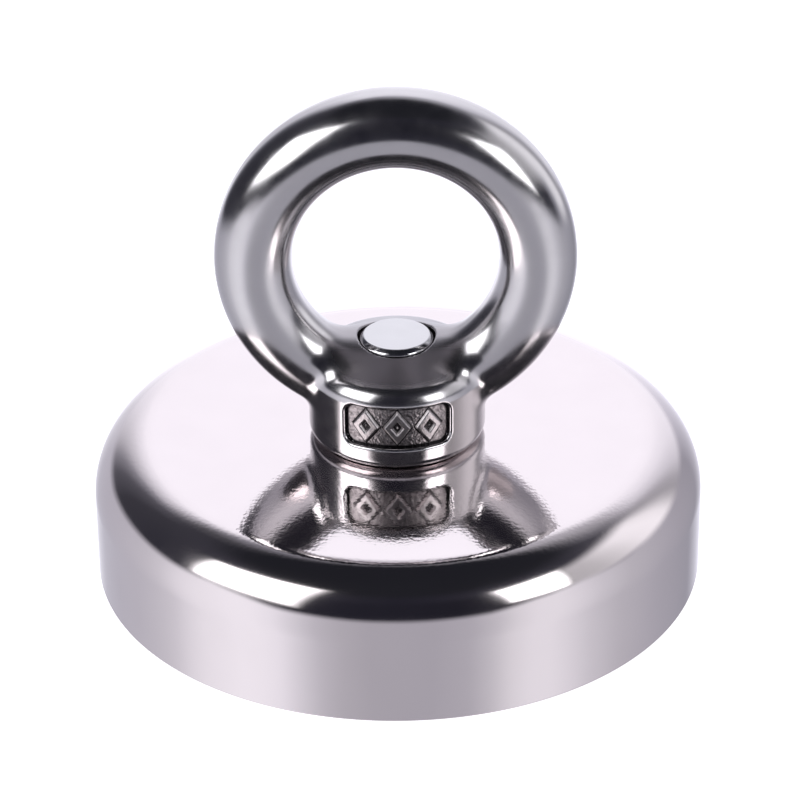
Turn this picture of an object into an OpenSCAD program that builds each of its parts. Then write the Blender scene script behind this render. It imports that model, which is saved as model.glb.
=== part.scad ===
// Single-sided magnet fishing magnet: a nickel-plated steel pot holding a ring
// magnet, with a cast eye nut screwed on a countersunk bolt.
// Millimetres. The origin is the centre of the pot's contact plane, +Z up.
// The eye's opening faces -Y and +Y.

/* [Pot] */
// Outer diameter of the steel pot
pot_d = 75; // [72:1:90]
// Height of the steel pot
pot_h = 18; // [17:0.5:21]
// Radius of the pot's rounded top corner
corner_r = 7.5; // [5:0.5:8]
// Thickness of the pot's side wall
pot_wall = 5; // [4:0.5:6]

/* [Magnet] */
// Thickness of the ring magnet
magnet_t = 10; // [9:0.5:10.5]
// Bore of the ring magnet
magnet_bore_d = 26; // [26:1:30]
// Radial gap between the magnet and the pot, filled with potting resin
outer_gap = 1.2; // [0.8:0.1:2]
// Depth of the magnet's face above the contact plane
face_recess = 0.5; // [0.3:0.1:0.8]
// Thickness of the adhesive film behind the magnet
film_t = 0.3; // [0.2:0.05:0.4]

/* [Bolt] */
// Nominal diameter of the metric thread
thread_d = 10; // [9.8:0.1:10]
// Pitch of the thread
pitch = 1.5; // [1.25:0.25:1.5]
// Overall length of the countersunk bolt, head included
bolt_l = 30; // [29.6:0.1:30.6]
// Diameter of the countersunk head
head_d = 20; // [19:0.5:20]
// Width of the hexagon socket across its flats
socket_af = 6; // [5.9:0.1:6.2]
// Depth of the hexagon socket
socket_depth = 3.6; // [3.2:0.1:4]

/* [Eye nut] */
// Outer diameter of the eye's ring
ring_od = 43.6; // [43:0.1:45]
// Inner diameter of the eye's ring
ring_id = 24.9; // [24.7:0.1:25.5]
// Thickness of the ring along Y
ring_w = 10; // [9.8:0.1:11]
// Height of the ring's centre above the pot
ring_rise = 23.7; // [23.2:0.1:24]
// Diameter of the collar under the ring
collar_d = 21.6; // [21:0.1:24]
// Height of the collar's wall and shoulder
collar_h = 10.3; // [10:0.1:10.6]

/* [Hidden] */
$fn = 96;

// Pot
pot_r = pot_d / 2;
recess_r = pot_r - pot_wall;
recess_depth = face_recess + magnet_t + film_t;
rim_bevel = 0.3;
hole_r = 5.25;

// Magnet, resin and bush
magnet_r = recess_r - outer_gap;
magnet_bevel = 0.4;
resin_z = face_recess + 0.6;
bush_r = 12;
bush_bevel = 0.3;

// Bolt: its head is sunk behind the contact plane
head_z = 1.1;
head_r = head_d / 2;
head_bevel = 0.2;
head_land = 0.5;
crest_r = thread_d / 2 - 0.075;
thread_depth = 0.54 * pitch;
thread_flank = thread_depth * tan(30);
crest_flat = pitch / 8;
thread_z = head_z + head_land + head_r - crest_r + 1.5;
tip_z = head_z + bolt_l;
tip_bevel = 0.95;
thread_turns = floor((tip_z - tip_bevel - thread_z) / pitch);

// The bush's countersink follows the head at a small clearance
seat_gap = 0.05;
counterbore_r = head_r + 0.25;
seat_z = head_z + head_land + head_r + seat_gap;

// Eye nut
tube_r = (ring_od - ring_id) / 4;
ring_r = (ring_od + ring_id) / 4;
collar_r = collar_d / 2;
foot_r = 0.5;
shoulder_r = 2;
shoulder_z = pot_h + collar_h - shoulder_r;
dome_r = 5.25;
dome_z = pot_h + 12.3;
tapped_r = thread_d / 2 + 0.05;
tapped_bevel = 0.5;

// Sunk panels on the front and back of the collar, each with three raised
// lozenges
panel_w = 13;
panel_h = 5.9;
panel_z = pot_h + 5.8;
panel_corner = 1.4;
panel_floor_r = collar_r - 0.5;
lozenge_side = 2.1;
lozenge_turn = 20;
lozenge_rise = 0.35;

// A triangle that bevels the corner [r, z] of a section by size. The corner
// points outwards along sr and sz.
module corner_cut(r, z, size, sr, sz)
    polygon([[r - sr * size, z], [r, z - sz * size], [r + sr, z + sz]]);

// Revolved ring from r0 to r1 and z0 to z1 with its two lower corners bevelled.
module bevelled_ring(r0, r1, z0, z1, bevel)
    rotate_extrude()
        difference() {
            translate([r0, z0])
                square([r1 - r0, z1 - z0]);
            corner_cut(r0, z0, bevel, -1, -1);
            corner_cut(r1, z0, bevel, 1, -1);
        }

// Revolved ring with square corners.
module plain_ring(r0, r1, z0, z1)
    rotate_extrude()
        translate([r0, z0])
            square([r1 - r0, z1 - z0]);

// Steel pot: rounded top corner, bevelled rim, clearance hole in its web.
module steel_pot()
    color("gainsboro")
        rotate_extrude()
            difference() {
                union() {
                    square([pot_r - corner_r, pot_h]);
                    square([pot_r, pot_h - corner_r]);
                    translate([pot_r - corner_r, pot_h - corner_r])
                        circle(corner_r);
                }
                translate([-1, -1])
                    square([recess_r + 1, recess_depth + 1]);
                translate([-1, -1])
                    square([hole_r + 1, pot_h + 2]);
                corner_cut(pot_r, 0, rim_bevel, 1, -1);
                corner_cut(recess_r, 0, rim_bevel / 2, -1, -1);
            }

// Sintered ring magnet.
module ring_magnet()
    color("silver")
        bevelled_ring(magnet_bore_d / 2, magnet_r, face_recess,
                      face_recess + magnet_t, magnet_bevel);

// Adhesive film that bonds the magnet's back to the pot's web.
module adhesive_film()
    color("olivedrab")
        plain_ring(magnet_bore_d / 2, magnet_r, face_recess + magnet_t,
                   recess_depth);

// Potting resin between the magnet and the pot's wall.
module outer_potting_ring()
    color("darkslategray")
        plain_ring(magnet_r, recess_r, resin_z, recess_depth);

// Potting resin between the magnet's bore and the bush.
module inner_potting_ring()
    color("darkslategray")
        plain_ring(bush_r, magnet_bore_d / 2, resin_z, recess_depth);

// Steel bush that centres the magnet and seats the bolt's head.
module centre_bush()
    color("lightgray")
        difference() {
            bevelled_ring(0, bush_r, face_recess, recess_depth, bush_bevel);
            cylinder(r = hole_r, h = pot_h);
            cylinder(r = counterbore_r, h = seat_z - counterbore_r);
            translate([0, 0, seat_z - counterbore_r])
                cylinder(r1 = counterbore_r, r2 = hole_r,
                         h = counterbore_r - hole_r);
        }

// Countersunk bolt with a hexagon socket. Its thread is drawn as grooves of
// the thread's section and pitch, without the helix.
module countersunk_bolt() {
    head_and_shank = [
        [0, head_z],
        [head_r - head_bevel, head_z],
        [head_r, head_z + head_bevel],
        [head_r, head_z + head_land],
        [crest_r, head_z + head_land + head_r - crest_r]
    ];
    thread = [
        for (turn = [0 : thread_turns - 1])
            let (z = thread_z + turn * pitch)
                each [
                    [crest_r, z],
                    [crest_r - thread_depth, z + thread_flank],
                    [crest_r - thread_depth,
                     z + pitch - crest_flat - thread_flank],
                    [crest_r, z + pitch - crest_flat]
                ]
    ];
    tip = [
        [crest_r, tip_z - tip_bevel],
        [crest_r - tip_bevel, tip_z],
        [0, tip_z]
    ];
    color("lightsteelblue")
        difference() {
            rotate_extrude()
                polygon(concat(head_and_shank, thread, tip));
            translate([0, 0, head_z - 1])
                cylinder(r = socket_af / 2 / cos(30), h = socket_depth + 1,
                         $fn = 6);
        }
}

// Rounded rectangle in X and Z, extruded towards -Y from the axis.
module panel_block()
    translate([0, 0, panel_z])
        rotate([90, 0, 0])
            linear_extrude(pot_d)
                union() {
                    square([panel_w - 2 * panel_corner, panel_h],
                           center = true);
                    square([panel_w, panel_h - 2 * panel_corner],
                           center = true);
                    for (sx = [-1, 1], sz = [-1, 1])
                        translate([sx * (panel_w / 2 - panel_corner),
                                   sz * (panel_h / 2 - panel_corner)])
                            circle(panel_corner);
                }

// What a panel takes out of the collar: a shallow curved pocket that leaves
// its lozenges standing.
module panel_pocket()
    difference() {
        intersection() {
            panel_block();
            plain_ring(panel_floor_r, pot_r, pot_h, dome_z);
        }
        intersection() {
            plain_ring(panel_floor_r - 1, panel_floor_r + lozenge_rise,
                       pot_h, dome_z);
            for (turn = [-lozenge_turn, 0, lozenge_turn])
                rotate([0, 0, turn])
                    translate([0, -panel_floor_r, panel_z])
                        rotate([0, 45, 0])
                            cube([lozenge_side, 4, lozenge_side],
                                 center = true);
        }
    }

// Collar under the ring: rounded foot and shoulder, then a low cone.
module collar()
    rotate_extrude()
        union() {
            polygon([[0, pot_h], [collar_r - foot_r, pot_h],
                     [collar_r, pot_h + foot_r], [collar_r, shoulder_z],
                     [collar_r - shoulder_r, shoulder_z + shoulder_r],
                     [dome_r, dome_z], [0, dome_z]]);
            translate([collar_r - foot_r, pot_h + foot_r])
                circle(foot_r);
            translate([collar_r - shoulder_r, shoulder_z])
                circle(shoulder_r);
        }

// Ring of the eye, with its axis along Y.
module ring()
    translate([0, 0, pot_h + ring_rise])
        rotate([90, 0, 0])
            rotate_extrude()
                union() {
                    for (side = [-1, 1])
                        translate([ring_r, side * (ring_w / 2 - tube_r)])
                            circle(tube_r);
                    translate([ring_r, 0])
                        square([2 * tube_r, ring_w - 2 * tube_r],
                               center = true);
                }

// Cast eye nut: ring, collar and a tapped bore drawn at the thread's major
// diameter.
module eye_nut()
    color("silver")
        difference() {
            union() {
                collar();
                ring();
            }
            translate([0, 0, pot_h - 1])
                cylinder(r = tapped_r, h = dome_z - pot_h + 2);
            rotate_extrude()
                polygon([[0, pot_h - 1], [tapped_r + tapped_bevel + 1, pot_h - 1],
                         [tapped_r, pot_h + tapped_bevel], [0, pot_h + tapped_bevel]]);
            for (turn = [0, 180])
                rotate([0, 0, turn])
                    panel_pocket();
        }

steel_pot();
ring_magnet();
adhesive_film();
outer_potting_ring();
inner_potting_ring();
centre_bush();
countersunk_bolt();
eye_nut();
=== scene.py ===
"""Looks of a magnet fishing magnet.

A nickel-plated steel pot holds a ring magnet in potting resin. A cast stainless eye nut is screwed
on a countersunk bolt whose end stands just proud inside the ring. Shapes are worked out in
millimetres, in the part's own frame, and go into their meshes in metres.
"""
import math

import bpy
import numpy as np
from mathutils import Matrix, Vector


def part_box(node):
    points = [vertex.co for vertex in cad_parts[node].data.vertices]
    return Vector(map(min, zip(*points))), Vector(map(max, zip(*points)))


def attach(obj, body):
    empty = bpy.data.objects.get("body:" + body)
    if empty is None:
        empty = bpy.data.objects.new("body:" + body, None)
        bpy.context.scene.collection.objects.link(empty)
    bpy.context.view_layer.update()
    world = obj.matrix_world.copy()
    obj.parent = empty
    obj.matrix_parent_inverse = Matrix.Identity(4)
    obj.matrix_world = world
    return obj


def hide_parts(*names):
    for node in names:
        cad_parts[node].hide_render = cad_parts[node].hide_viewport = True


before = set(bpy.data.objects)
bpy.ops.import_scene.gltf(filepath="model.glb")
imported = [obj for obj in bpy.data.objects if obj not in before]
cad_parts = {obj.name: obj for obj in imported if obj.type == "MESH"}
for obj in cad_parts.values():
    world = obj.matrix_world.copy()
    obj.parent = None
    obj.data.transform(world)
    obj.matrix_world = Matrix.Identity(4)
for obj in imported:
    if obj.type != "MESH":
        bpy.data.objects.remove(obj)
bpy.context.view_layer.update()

MM = 0.001
TURN = 2 * math.pi


# ---------------------------------------------------------------- sizes, in millimetres

def span(node):
    """Lowest and highest corner of a CAD node, in millimetres."""
    low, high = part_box(node)
    return np.array(low) / MM, np.array(high) / MM


POT_R = span("steel_pot")[1][0]
POT_TOP = span("steel_pot")[1][2]
POT_CORNER = 7.5
POT_WALL = 5.0
EDGE_EASE = 0.2

FILM = span("adhesive_film")
MAGNET_IN, MAGNET_OUT = 13.0, FILM[1][0]
MAGNET_FACE, MAGNET_BACK = span("ring_magnet")[0][2], span("ring_magnet")[1][2]
RECESS_R = POT_R - POT_WALL
RECESS_TOP = FILM[1][2]
RESIN_FACE = span("outer_potting_ring")[0][2]
RESIN_SAG = 0.25
BUSH_R = span("centre_bush")[1][0]
HOLE_R = 5.25

HEAD_Z = span("countersunk_bolt")[0][2]
HEAD_R = span("countersunk_bolt")[1][0]
TIP_Z = span("countersunk_bolt")[1][2]
HEAD_LAND = 0.5
SEAT_GAP = 0.05
COUNTERBORE_R = HEAD_R + 0.25
# Height at which the bush's 45 degree seat would meet the axis
SEAT_Z = HEAD_Z + HEAD_LAND + HEAD_R + SEAT_GAP
PITCH = 1.5
CREST_R = 4.925
THREAD_DEPTH = 0.54 * PITCH
THREAD_GAP = 0.12
NECK_Z = HEAD_Z + HEAD_LAND + HEAD_R - CREST_R
NECK_LENGTH = 1.5
THREAD_START = NECK_Z + NECK_LENGTH
THREAD_END = TIP_Z - 1.45
THREAD_RUN_OUT = 0.6
THREAD_SHARP = math.radians(32)
TIP_SHOULDER = 0.4
TIP_R = 4.55
TIP_FACE_R = 4.0
TIP_BEVEL = 0.5
SOCKET_AF = 6.0
SOCKET_DEPTH = 3.6
SOCKET_CONE = 0.8
SOCKET_CHAMFER_R = 3.8
SOCKET_CHAMFER = math.radians(30)
SOCKET_LAND = 0.3

COLLAR_R = span("eye_nut")[1][1]
RING_OUT = span("eye_nut")[1][0]
RING_Z = span("eye_nut")[1][2] - RING_OUT
TUBE_R = 4.675
RING_R = RING_OUT - TUBE_R
RING_HALF_WIDTH = 5.0
RING_FLAT = RING_HALF_WIDTH - TUBE_R
# Fillet where the ring meets the collar: its size low down, what it gains, and over which heights
FILLET = 1.3
FILLET_GAIN = 1.7
FILLET_Z = 27.0
FILLET_RUN = 3.0
FOOT_R = 1.5
SHOULDER_R = 1.6
TAPPED_R = 5.05
# The tapped thread's sleeve: how far it stands into the bore, its wall behind, and its ends
SLEEVE_PROUD = 0.002
SLEEVE_WALL = 0.2
SLEEVE_FOOT_GAP = 0.7
SLEEVE_TOP_GAP = 0.8
# The bore narrows to MOUTH_R over MOUTH_RUN, which starts MOUTH_DEPTH below the cone's inner edge
MOUTH_R = 4.76
MOUTH_DEPTH = 0.75
MOUTH_RUN = 0.35
DOME_Z = POT_TOP + 12.4
DOME_SLOPE = math.atan(0.42)
PANEL_Z = POT_TOP + 5.8
PANEL_HALF = (6.95, 2.75)
PANEL_CORNER = 1.4
PANEL_DEPTH = 0.65
PANEL_EDGE = 0.35
PANEL_LAP = 0.1
PANEL_BACKING = 0.3
PANEL_SHARP = math.radians(60)
LOZENGE_STEP = 4.1
LOZENGE_HALF = (1.75, 2.2)
LOZENGE_STROKE = 0.42
LOZENGE_PIP_INSET = 3.1 * LOZENGE_STROKE
LOZENGE_LEAN = 0.3
LOZENGE_RISE = 0.36
PEBBLE_RISE = 0.03
# Grid of the casting along X, Y and Z: the usual step and the fine one
EYE_STEPS = ((0.36, 0.2), (0.3, 0.17), (0.36, 0.17))
EYE_ROOM = 0.6
# Middle and half width of the crevice along a lozenge's foot, where shade is painted
CREVICE = (0.14, 0.2)
# Radii and heights between which the cone's duller finish and its painted shade end
SHADED_CONE_RADII = (8.6, 9.9)
SHADED_CONE_HEIGHTS = (30.6, 32.5)
# Heights below the pot's top between which its sandy finish comes in
SANDED_DEPTHS = (1.2, 0.1)


# ---------------------------------------------------------------- meshes

def skin(name, points, faces, normals=None):
    """A smooth mesh object from points in millimetres, faces, and an exact normal for each point."""
    mesh = bpy.data.meshes.new(name)
    mesh.from_pydata((points * MM).tolist(), [], faces)
    mesh.shade_smooth()
    if normals is not None:
        mesh.normals_split_custom_set_from_vertices(normals.tolist())
    piece = bpy.data.objects.new(name, mesh)
    bpy.context.scene.collection.objects.link(piece)
    return piece


def mark(piece, name, values):
    """Gives each point of a piece a number that its material can read."""
    layer = piece.data.attributes.new(name, "FLOAT", "POINT")
    layer.data.foreach_set("value", values.reshape(-1).astype(np.float32))


def grid_faces(rows, columns, loop=False):
    """Quads of a grid of points, one row after another. A loop joins each row's end to its start."""
    row, here = np.meshgrid(np.arange(rows - 1), np.arange(columns if loop else columns - 1),
                            indexing="ij")
    after = (here + 1) % columns
    return np.stack([row * columns + here, (row + 1) * columns + here, (row + 1) * columns + after,
                     row * columns + after], -1).reshape(-1, 4)


def eased(corners, closed):
    """Outline through corners (r, z, radius), with the body on the left of the way round.

    Each corner becomes an arc of its radius, tangent to both its sides, which starts
    radius tan(turn / 2) before the corner. Returns the outline's points and its outward normals,
    which point to the right of the way round.
    """
    places = np.array([corner[:2] for corner in corners], float)
    points, normals = [], []
    count = len(corners)
    for i, (r, z, radius) in enumerate(corners):
        here = places[i]
        if not closed and i in (0, count - 1):
            other = places[1] if i == 0 else places[-2]
            way = (other - here) if i == 0 else (here - other)
            way = way / np.hypot(*way)
            points.append(here[None])
            normals.append(np.array([[way[1], -way[0]]]))
            continue
        before, after = here - places[i - 1], places[(i + 1) % count] - here
        before, after = before / np.hypot(*before), after / np.hypot(*after)
        turn = math.atan2(before[0] * after[1] - before[1] * after[0], before @ after)
        back = radius * math.tan(abs(turn) / 2)
        steps = max(3, math.ceil(abs(turn) / math.radians(7)), math.ceil(radius * abs(turn) / 0.35))
        side = math.copysign(1, turn)
        start = math.atan2(before[1], before[0])
        angle = start + turn * np.linspace(0, 1, steps + 1)
        normal = np.stack([np.sin(angle), -np.cos(angle)], 1)
        first_normal = np.array([math.sin(start), -math.cos(start)])
        centre = here - before * back - side * first_normal * radius
        points.append(centre + side * normal * radius)
        normals.append(normal)
    return np.concatenate(points), np.concatenate(normals)


def revolve(name, corners, closed=True, sides=256, sway=None):
    """Lathed piece: the eased outline of corners turned about Z.

    point(i, j) = (r_i cos a_j, r_i sin a_j, z_i). An open outline starts and ends on the axis.
    sway(r, z, a) is how far a cast face is lifted from the true surface.
    """
    outline, outline_normal = eased(corners, closed)
    angle = np.linspace(0, TURN, sides, endpoint=False)[:, None]
    r, z = outline[:, 0] + 0 * angle, outline[:, 1] + 0 * angle
    if sway is not None:
        z = z + sway(r, z, angle)
    points = np.stack([r * np.cos(angle), r * np.sin(angle), z], -1)
    normals = np.stack([outline_normal[:, 0] * np.cos(angle), outline_normal[:, 0] * np.sin(angle),
                        outline_normal[:, 1] + 0 * angle], -1)
    return wrap(name, points, closed, None if sway is not None else normals)


def wrap(name, points, closed, normals=None):
    """Closed skin over a grid of points (turn, row): rows run along the outline, turns about Z.

    An open outline's first and last rows are poles, each made one point.
    """
    sides, rows = points.shape[:2]
    turn, row = np.meshgrid(np.arange(sides), np.arange(rows if closed else rows - 1), indexing="ij")
    after_turn, after_row = (turn + 1) % sides, (row + 1) % rows
    if closed:
        index = np.arange(sides * rows).reshape(sides, rows)
    else:
        inner = np.arange(sides * (rows - 2)).reshape(sides, rows - 2) + 2
        index = np.concatenate([np.zeros((sides, 1), int), inner, np.ones((sides, 1), int)], 1)
    quads = np.stack([index[turn, row], index[after_turn, row], index[after_turn, after_row],
                      index[turn, after_row]], -1)

    def gather(grid):
        if closed:
            return grid.reshape(-1, 3)
        return np.concatenate([grid[0, :1], grid[0, -1:], grid[:, 1:-1].reshape(-1, 3)])

    if closed:
        faces = quads.reshape(-1, 4).tolist()
    else:
        faces = (quads[:, 1:-1].reshape(-1, 4).tolist()
                 + quads[:, 0][:, [0, 2, 3]].tolist()
                 + quads[:, -1][:, [0, 1, 2]].tolist())
    return skin(name, gather(points), faces, None if normals is None else gather(normals))


# ---------------------------------------------------------------- implicit shapes

def merge_blend(a, b, size):
    """Union of two distances with a soft fillet: min(a, b) less size/4 (1 - |a - b|/size)^2."""
    near = np.clip(1 - np.abs(a - b) / size, 0, 1)
    return np.minimum(a, b) - near * near * size / 4


def round_cut(a, b, radius):
    """Intersection of two distances whose shared edge is an arc of that radius."""
    corner = np.hypot(np.maximum(radius + a, 0), np.maximum(radius + b, 0))
    return np.minimum(-radius, np.maximum(a, b)) + corner


def ease(t):
    """Smooth step from 0 to 1."""
    t = np.clip(t, 0, 1)
    return t * t * (3 - 2 * t)


def graded(low, high, step, fine_step, bands):
    """Grid places from low to high: fine_step apart within the bands and step apart elsewhere.

    The places are where the running integral of 1/spacing passes whole numbers.
    """
    line = np.linspace(low, high, 8001)
    fine = np.zeros(line.shape, bool)
    for start, end in bands:
        fine |= (line > start) & (line < end)
    density = 1 / np.where(fine, fine_step, step)
    count = np.concatenate([[0], np.cumsum((density[1:] + density[:-1]) / 2 * np.diff(line))])
    return np.interp(np.linspace(0, count[-1], math.ceil(count[-1]) + 1), count, line)


def surface_net(distance, axes):
    """Points and quads of the surface distance = 0 on a grid with the given axes.

    Each grid cell that the surface passes through holds one point, the mean of the crossings on its
    edges, and each crossed edge gives one quad between its four cells.
    """
    field = distance(*np.meshgrid(*axes, indexing="ij"))
    cells = [len(axis) - 1 for axis in axes]
    homes, crossings, quads = [], [], []
    for a in range(3):
        b, c = (a + 1) % 3, (a + 2) % 3
        low = np.moveaxis(field, a, 0)[:-1]
        high = np.moveaxis(field, a, 0)[1:]
        found = np.nonzero(np.moveaxis((low < 0) != (high < 0), 0, a))
        start = field[found]
        ahead = list(found)
        ahead[a] = ahead[a] + 1
        end = field[tuple(ahead)]
        share = start / (start - end)
        place = np.stack([axes[k][found[k]] for k in range(3)], -1)
        place[:, a] += share * (axes[a][ahead[a]] - axes[a][found[a]])
        around = []
        for step_b, step_c in ((-1, -1), (0, -1), (0, 0), (-1, 0)):
            cell = list(found)
            cell[b] = cell[b] + step_b
            cell[c] = cell[c] + step_c
            around.append(np.ravel_multi_index(cell, cells))
            crossings.append(place)
        quad = np.stack(around, -1)
        homes.extend(around)
        outward = (start < 0)[:, None]
        quads.append(np.where(outward, quad, quad[:, ::-1]))
    homes, crossings = np.concatenate(homes), np.concatenate(crossings)
    used, index = np.unique(homes, return_inverse=True)
    total = np.stack([np.bincount(index, crossings[:, k]) for k in range(3)], -1)
    points = total / np.bincount(index)[:, None]
    return points, np.searchsorted(used, np.concatenate(quads))


def slope(distance, points, step=0.004):
    """Gradient of distance at the points, by central differences."""
    parts = []
    for axis in np.eye(3) * step:
        ahead, behind = (points + axis).T, (points - axis).T
        parts.append((distance(*ahead) - distance(*behind)) / (2 * step))
    return np.stack(parts, -1)


def settle(distance, points, quads, rounds=4):
    """Evens the points out and moves them onto distance = 0 by Newton steps."""
    rim = np.concatenate([quads[:, [k, (k + 1) % 4]] for k in range(4)])
    rim = np.concatenate([rim, rim[:, ::-1]])
    share = np.bincount(rim[:, 0], minlength=len(points))[:, None]
    for turn in range(rounds):
        if turn < rounds - 2:
            mean = np.stack([np.bincount(rim[:, 0], points[rim[:, 1], k], len(points))
                             for k in range(3)], -1) / share
            points = points + 0.6 * (mean - points)
        for _ in range(2):
            gradient = slope(distance, points)
            size = np.maximum((gradient ** 2).sum(1, keepdims=True), 0.25)
            points = points - distance(*points.T)[:, None] * gradient / size
    gradient = slope(distance, points)
    return points, gradient / np.linalg.norm(gradient, axis=1, keepdims=True)


# ---------------------------------------------------------------- the pot and what it holds

def make_pot():
    """Turned pot: a deep cup with a large rounded back corner and a hole in its web."""
    return revolve("pot_shell", [
        (HOLE_R, RECESS_TOP, EDGE_EASE),
        (RECESS_R, RECESS_TOP, 0.5),
        (RECESS_R, 0, EDGE_EASE),
        (POT_R, 0, EDGE_EASE),
        (POT_R, POT_TOP, POT_CORNER),
        (HOLE_R, POT_TOP, EDGE_EASE),
    ], sides=320)


def make_magnet():
    """Sintered ring magnet with tumbled edges."""
    return revolve("magnet_ring", [
        (MAGNET_IN, MAGNET_BACK, 0.4),
        (MAGNET_IN, MAGNET_FACE, 0.5),
        (MAGNET_OUT, MAGNET_FACE, 0.5),
        (MAGNET_OUT, MAGNET_BACK, 0.4),
    ])


def make_resin(name, inner, outer):
    """Ring of cured resin. Its open face is a trough that the resin's shrinkage leaves: the middle
    lies RESIN_SAG deeper than the edges, and slow waves run round it."""
    middle, half = (inner + outer) / 2, (outer - inner) / 2

    def trough(r, z, a):
        low = z < (RESIN_FACE + RECESS_TOP) / 2
        bowl = 1 - ((r - middle) / half) ** 2
        waves = 0.3 * np.sin(3 * a + 0.7) + 0.2 * np.sin(7 * a) + 0.1 * np.sin(17 * a + 2)
        return np.where(low, RESIN_SAG * bowl * (1 + waves), 0)

    face = [(inner + (outer - inner) * share, RESIN_FACE, 0.01) for share in (0.25, 0.5, 0.75)]
    return revolve(name, [(inner, RECESS_TOP, 0.05), (inner, RESIN_FACE, 0.05), *face,
                          (outer, RESIN_FACE, 0.05), (outer, RECESS_TOP, 0.05)], sway=trough)


def make_bush():
    """Turned bush with a countersink for the bolt's head, whose seat is the line z = SEAT_Z - r."""
    return revolve("seat_bush", [
        (HOLE_R, RECESS_TOP, EDGE_EASE),
        (HOLE_R, SEAT_Z - HOLE_R, EDGE_EASE),
        (COUNTERBORE_R, SEAT_Z - COUNTERBORE_R, EDGE_EASE),
        (COUNTERBORE_R, MAGNET_FACE, EDGE_EASE),
        (BUSH_R, MAGNET_FACE, EDGE_EASE),
        (BUSH_R, RECESS_TOP, EDGE_EASE),
    ], sides=192)


# ---------------------------------------------------------------- the bolt

def thread_radius(angle, z, crest):
    """Radius of a right-hand 60 degree thread: a wave in z / pitch - angle / turn, with an eighth of
    the pitch flat at its crests and a quarter at its roots."""
    phase = np.abs((z / PITCH - angle / TURN) % 1 - 0.5) * 2
    return crest - THREAD_DEPTH * np.clip((phase - 0.125) / 0.625, 0, 1)


def hexagon(angle):
    """Distance from the axis to the socket's wall: half the width across flats over the cosine of
    the angle to the nearest flat's middle."""
    return SOCKET_AF / 2 / np.cos((angle + TURN / 12) % (TURN / 6) - TURN / 12)


def make_bolt():
    """Countersunk bolt: the rows run from the socket's floor over the head and the helical thread
    to the necked, bevelled tip. Within the socket the radius is the hexagon's, and along the shank
    it is the smaller of the outline's and the thread's."""
    angle = np.linspace(0, TURN, 144, endpoint=False)[:, None]
    wall = hexagon(angle)
    floor_z = HEAD_Z + SOCKET_DEPTH
    chamfer_z = HEAD_Z + (SOCKET_CHAMFER_R - wall) * math.tan(SOCKET_CHAMFER)
    across = np.linspace(0, 1, 6)
    floor = (wall * across, floor_z + SOCKET_CONE * (1 - across) + 0 * wall)
    down = np.linspace(0, 1, 8)[1:]
    sides = (wall + 0 * down, floor_z + (chamfer_z - floor_z) * down)
    lip = np.linspace(0, 1, 4)[1:]
    mouth = (wall + (SOCKET_CHAMFER_R - wall) * lip, chamfer_z + (HEAD_Z - chamfer_z) * lip)

    outline, _ = eased([
        (SOCKET_CHAMFER_R + SOCKET_LAND, HEAD_Z, 0),
        (HEAD_R, HEAD_Z, 0.25),
        (HEAD_R, HEAD_Z + HEAD_LAND, 0.15),
        (CREST_R, NECK_Z, 0.8),
        (CREST_R, THREAD_START, 0),
    ], closed=False)
    row_step = PITCH / 24
    shank = np.arange(THREAD_START + row_step, THREAD_END - 0.2, row_step)
    tip, _ = eased([
        (CREST_R, shank[-1] + row_step, 0),
        (CREST_R, THREAD_END, 0.1),
        (TIP_R, THREAD_END + TIP_SHOULDER, 0.15),
        (TIP_R, TIP_Z - TIP_BEVEL, 0.45),
        (TIP_FACE_R, TIP_Z, 0.3),
        (0, TIP_Z, 0),
    ], closed=False)
    r = np.concatenate([outline[:, 0], CREST_R + 0 * shank, tip[:, 0]])
    z = np.concatenate([outline[:, 1], shank, tip[:, 1]])
    depth = CREST_R - thread_radius(angle, z, CREST_R)
    depth = depth * ease((z - THREAD_START) / PITCH) * ease((THREAD_END - z) / THREAD_RUN_OUT)
    rest = (np.where(z > THREAD_START, np.minimum(r, CREST_R - depth), r), z + 0 * angle)
    radius, height = (np.concatenate(parts, 1) for parts in zip(floor, sides, mouth, rest))
    points = np.stack([radius * np.cos(angle), radius * np.sin(angle), height], -1)
    bolt = wrap("socket_bolt", points, closed=False)
    bolt.data.set_sharp_from_angle(angle=THREAD_SHARP)
    return bolt


# ---------------------------------------------------------------- the eye nut

def arc_place(x, y):
    """Distance round the collar from the middle of its nearer panel: radius times angle."""
    return COLLAR_R * np.arctan2(x, np.abs(y))


def panel_outline(s, z):
    """Distance in the collar's surface to the panel's rounded rectangle, negative within: the
    distance to a rectangle smaller by the corner's radius, less that radius."""
    out_s = np.abs(s) - PANEL_HALF[0] + PANEL_CORNER
    out_z = np.abs(z - PANEL_Z) - PANEL_HALF[1] + PANEL_CORNER
    outside = np.hypot(np.maximum(out_s, 0), np.maximum(out_z, 0))
    return outside + np.minimum(np.maximum(out_s, out_z), 0) - PANEL_CORNER


def lozenge_edge(s, z):
    """Distance to the strokes of three lozenge frames, each with a pip in its middle. A lozenge is
    |s| / half width + |z| / half height = 1, and its frame is a stroke along the inside of that."""
    column = np.clip(np.round(s / LOZENGE_STEP), -1, 1)
    half_s, half_z = LOZENGE_HALF
    reach = np.abs(s - column * LOZENGE_STEP) / half_s + np.abs(z - PANEL_Z) / half_z
    edge = (reach - 1) * half_s * half_z / math.hypot(half_s, half_z)
    stroke = np.abs(edge + LOZENGE_STROKE) - LOZENGE_STROKE
    return np.minimum(stroke, edge + LOZENGE_PIP_INSET)


def lozenge_height(s, z):
    """0 to 1: the raised lozenges, a smooth step across their edges over LOZENGE_LEAN."""
    return ease(0.5 - lozenge_edge(s, z) / LOZENGE_LEAN)


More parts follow.
